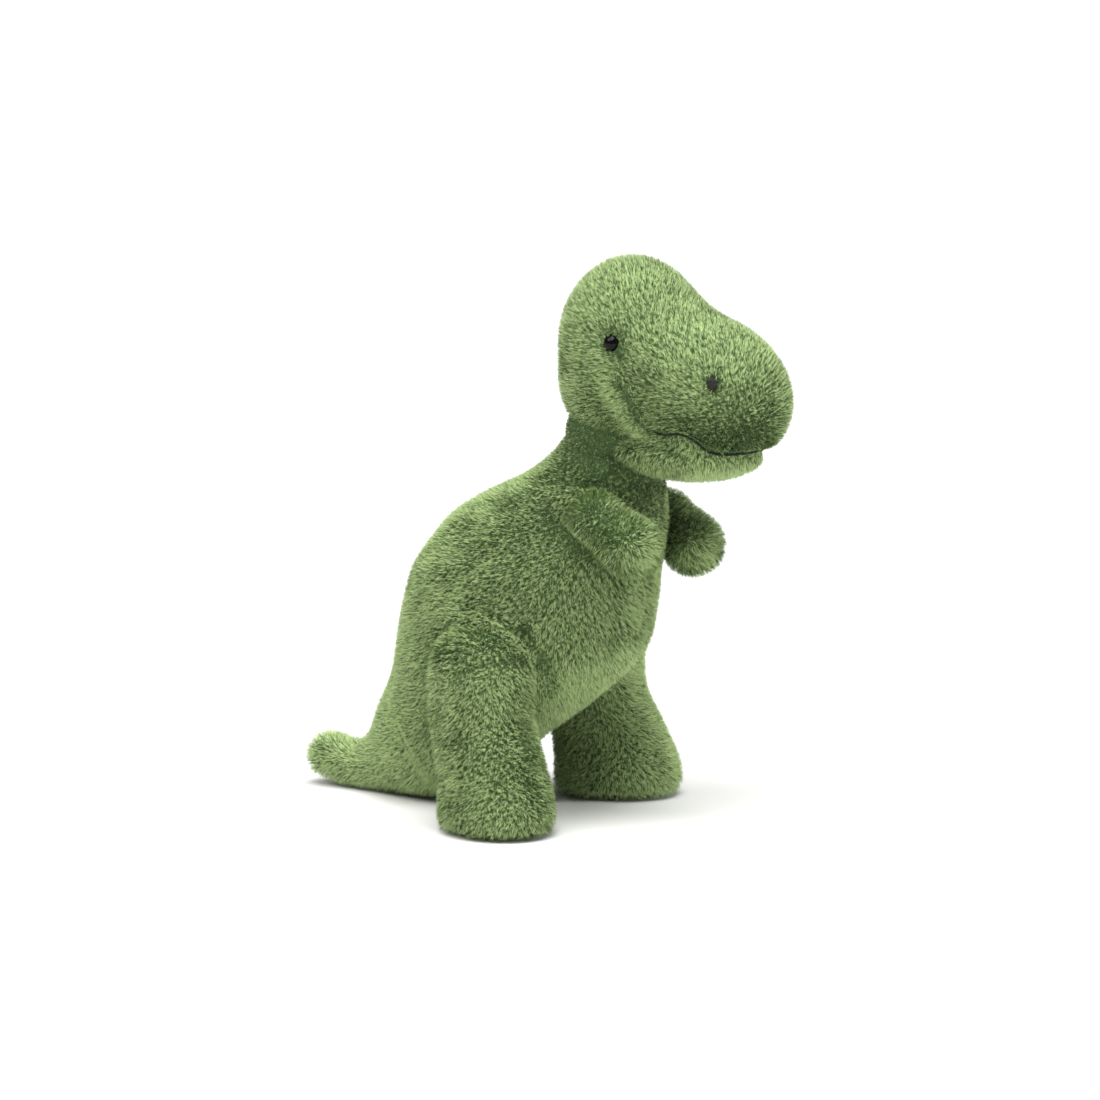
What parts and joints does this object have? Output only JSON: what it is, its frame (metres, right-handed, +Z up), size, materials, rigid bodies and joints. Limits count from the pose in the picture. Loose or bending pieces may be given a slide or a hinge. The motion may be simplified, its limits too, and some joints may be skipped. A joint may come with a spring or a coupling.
{
  "type": "stuffed dinosaur",
  "caption": "Standing plush tyrannosaur with round head, long snout, short arms, stout legs and a tail that rests on the floor.",
  "frame": {"origin": "on the floor, at the middle of the toy's length and width", "axes": "+Z up, snout towards -Y, the toy's own left side towards +X"},
  "size_m": [0.1666, 0.28, 0.28],
  "materials": {
    "green_plush": "soft short-pile plush, mottled sage green",
    "sole_plush": "the same plush, cut as a flat sole",
    "fibre_filling": "white polyester fibre",
    "pellet_bag_cloth": "thin non-woven bag of plastic pellets",
    "eye_plastic": "polished black safety eye",
    "washer_plastic": "moulded locking washer",
    "dark_thread": "embroidery thread, near black",
    "label_satin": "blank white satin ribbon"
  },
  "bodies": {
    "torso": {"care_label": "label_satin", "torso_filling": "fibre_filling", "torso_left": "green_plush", "torso_pellet_bag": "pellet_bag_cloth", "torso_right": "green_plush"},
    "neck": {"neck_filling": "fibre_filling", "neck_left": "green_plush", "neck_right": "green_plush"},
    "head": {"chin_panel": "green_plush", "eye_left": "eye_plastic", "eye_right": "eye_plastic", "eye_washer_left": "washer_plastic", "eye_washer_right": "washer_plastic", "head_filling": "fibre_filling", "head_gusset": "green_plush", "head_left": "green_plush", "head_right": "green_plush", "mouth_thread": "dark_thread", "nostril_left": "dark_thread", "nostril_right": "dark_thread"},
    "arm_right": {"arm_right_filling": "fibre_filling", "arm_right_inner": "green_plush", "arm_right_outer": "green_plush"},
    "arm_left": {"arm_left_filling": "fibre_filling", "arm_left_inner": "green_plush", "arm_left_outer": "green_plush"},
    "leg_right": {"leg_right_filling": "fibre_filling", "leg_right_inner": "green_plush", "leg_right_outer": "green_plush", "leg_right_pellet_bag": "pellet_bag_cloth", "leg_right_sole": "sole_plush"},
    "leg_left": {"leg_left_filling": "fibre_filling", "leg_left_inner": "green_plush", "leg_left_outer": "green_plush", "leg_left_pellet_bag": "pellet_bag_cloth", "leg_left_sole": "sole_plush"},
    "tail": {"tail_filling": "fibre_filling", "tail_left": "green_plush", "tail_pellet_bag": "pellet_bag_cloth", "tail_right": "green_plush"}
  },
  "joints": [
    {"name": "head_turn", "type": "hinge", "parent": "torso", "child": "neck", "pos_m": [0, -0.041, 0.172], "axis": [0, 0, 1], "range_deg": [-25, 25], "stiffness_Nm_per_rad": 0.3},
    {"name": "head_nod", "type": "hinge", "parent": "neck", "child": "head", "pos_m": [0, -0.041, 0.2], "axis": [1, 0, 0], "range_deg": [-15, 10], "stiffness_Nm_per_rad": 0.6},
    {"name": "arm_right_swing", "type": "hinge", "parent": "torso", "child": "arm_right", "pos_m": [-0.0305, -0.0415, 0.157], "axis": [-1, 0, 0], "range_deg": [-5, 25], "stiffness_Nm_per_rad": 0.03},
    {"name": "arm_left_swing", "type": "hinge", "parent": "torso", "child": "arm_left", "pos_m": [0.0305, -0.0415, 0.157], "axis": [-1, 0, 0], "range_deg": [-5, 25], "stiffness_Nm_per_rad": 0.03},
    {"name": "leg_right_swing", "type": "hinge", "parent": "torso", "child": "leg_right", "pos_m": [-0.0465, 0, 0.085], "axis": [-1, 0, 0], "range_deg": [-15, 25], "stiffness_Nm_per_rad": 1.2},
    {"name": "leg_left_swing", "type": "hinge", "parent": "torso", "child": "leg_left", "pos_m": [0.0465, 0, 0.085], "axis": [-1, 0, 0], "range_deg": [-15, 25], "stiffness_Nm_per_rad": 1.2},
    {"name": "tail_wag", "type": "hinge", "parent": "torso", "child": "tail", "pos_m": [0, 0.07, 0.025], "axis": [0, 0, 1], "range_deg": [-20, 20], "stiffness_Nm_per_rad": 0.1}
  ]
}
